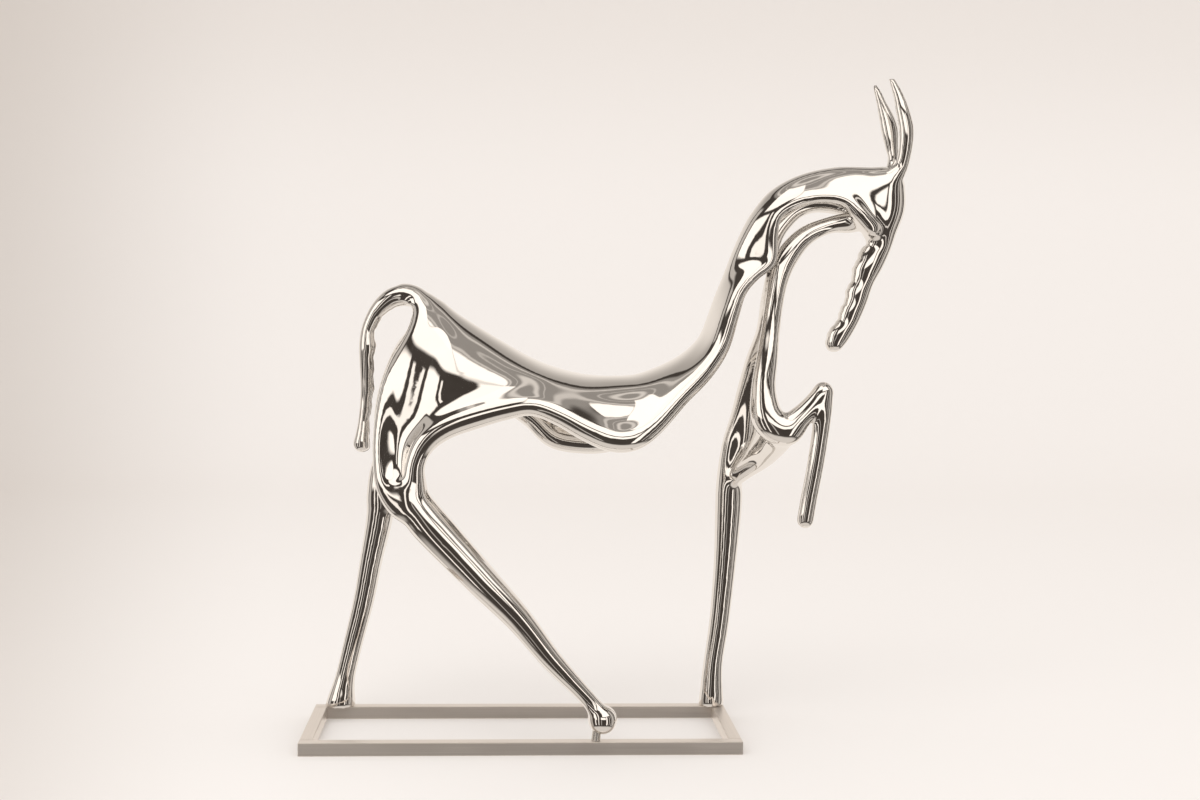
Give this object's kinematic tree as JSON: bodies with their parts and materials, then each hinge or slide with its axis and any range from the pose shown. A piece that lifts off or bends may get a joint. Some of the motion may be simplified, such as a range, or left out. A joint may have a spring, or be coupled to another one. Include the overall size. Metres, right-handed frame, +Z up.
{
  "type": "horse statue",
  "caption": "Standing horse sculpture of mirror-polished steel bars and skins with an open body, arched neck and raised foreleg, on a flat rectangular frame of square tube.",
  "frame": {"origin": "middle of the bounding box at the level of the frame's underside", "axes": "+X towards the head, +Y towards the horse's right side, +Z up"},
  "size_m": [1.395, 0.3979, 1.5428],
  "materials": {
    "polished_steel": "mirror-polished stainless steel",
    "pin_steel": "bright turned stainless steel",
    "satin_front": "satin stainless tube, brushed along its length",
    "satin_back": "satin stainless tube, brushed along its length",
    "satin_left": "satin stainless tube, brushed along its length",
    "satin_right": "satin stainless tube, brushed along its length"
  },
  "bodies": {
    "root": {"horse": "polished_steel", "hoof_pin": "pin_steel", "rail_front": "satin_front", "rail_back": "satin_back", "rail_left": "satin_left", "rail_right": "satin_right"}
  },
  "joints": []
}
